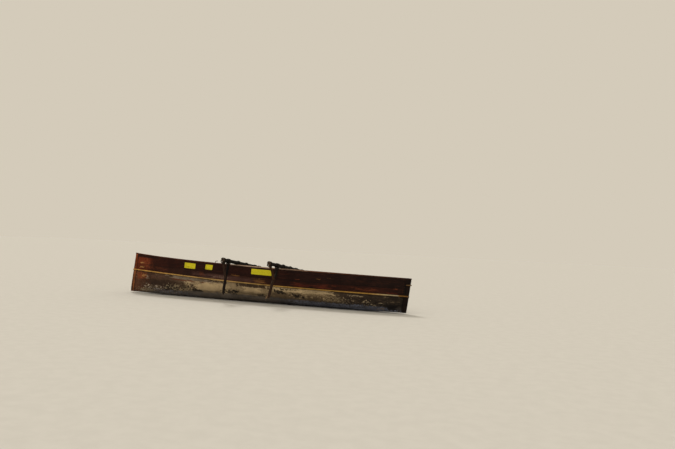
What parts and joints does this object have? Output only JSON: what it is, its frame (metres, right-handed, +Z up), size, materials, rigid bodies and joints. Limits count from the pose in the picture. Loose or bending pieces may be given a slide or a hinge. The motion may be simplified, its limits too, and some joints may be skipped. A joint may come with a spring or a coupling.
{
  "type": "outrigger canoe",
  "caption": "Wooden dugout canoe raised with plank strakes, with two cross booms on forked struts and a log float on its starboard side.",
  "frame": {"origin": "on the ground, under the middle of the whole canoe, as it lies aground on its keel and its float", "axes": "+X to the stern, along the keel; +Y to the float's side (starboard); +Z up from the ground. The hull leans 7 degrees to +Y."},
  "size_m": [6.5314, 1.8028, 0.9331],
  "materials": {
    "log": "weathered, part painted dark brown",
    "strake": "worn dark red-brown paint",
    "batten": "worn ochre paint",
    "rail": "worn paint with bare edges",
    "post": "worn orange-brown paint",
    "inside": "weathered bare wood",
    "pole": "rough dark branch wood",
    "float": "weathered log",
    "peg": "bare wood",
    "rope": "old natural fibre rope",
    "iron": "rusted rod"
  },
  "bodies": {
    "root": {"aft_beam": "inside", "aft_boom": "pole", "aft_boom_port_lashing": "rope", "aft_boom_starboard_lashing": "rope", "bow_deck": "inside", "bow_post": "post", "bow_thwart": "inside", "dugout": "log", "float": "float", "fore_beam": "inside", "fore_boom": "pole", "fore_boom_port_lashing": "rope", "fore_boom_starboard_lashing": "rope", "middle_thwart": "inside", "port_aft_boom_cleat": "inside", "port_aft_fork": "pole", "port_aft_inner_tie": "rope", "port_aft_outer_tie": "rope", "port_batten": "batten", "port_cleat_1": "inside", "port_cleat_2": "inside", "port_fore_boom_cleat": "inside", "port_fore_fork": "pole", "port_fore_inner_tie": "rope", "port_fore_outer_tie": "rope", "port_lower_strake_1": "strake", "port_lower_strake_2": "strake", "port_lower_strake_3": "strake", "port_rail_aft": "rail", "port_rail_fore": "rail", "port_upper_strake_1": "strake", "port_upper_strake_2": "strake", "port_upper_strake_3": "strake", "rail_hook": "iron", "starboard_aft_boom_cleat": "inside", "starboard_aft_fork": "pole", "starboard_aft_inner_tie": "rope", "starboard_aft_outer_tie": "rope", "starboard_batten": "batten", "starboard_cleat_1": "inside", "starboard_cleat_2": "inside", "starboard_fore_boom_cleat": "inside", "starboard_fore_fork": "pole", "starboard_fore_inner_tie": "rope", "starboard_fore_outer_tie": "rope", "starboard_lower_strake_1": "strake", "starboard_lower_strake_2": "strake", "starboard_lower_strake_3": "strake", "starboard_rail_aft": "rail", "starboard_rail_fore": "rail", "starboard_upper_strake_1": "strake", "starboard_upper_strake_2": "strake", "starboard_upper_strake_3": "strake", "stern_cleat": "peg", "stern_deck": "inside", "stern_post": "post", "stern_thwart": "inside"}
  },
  "joints": []
}
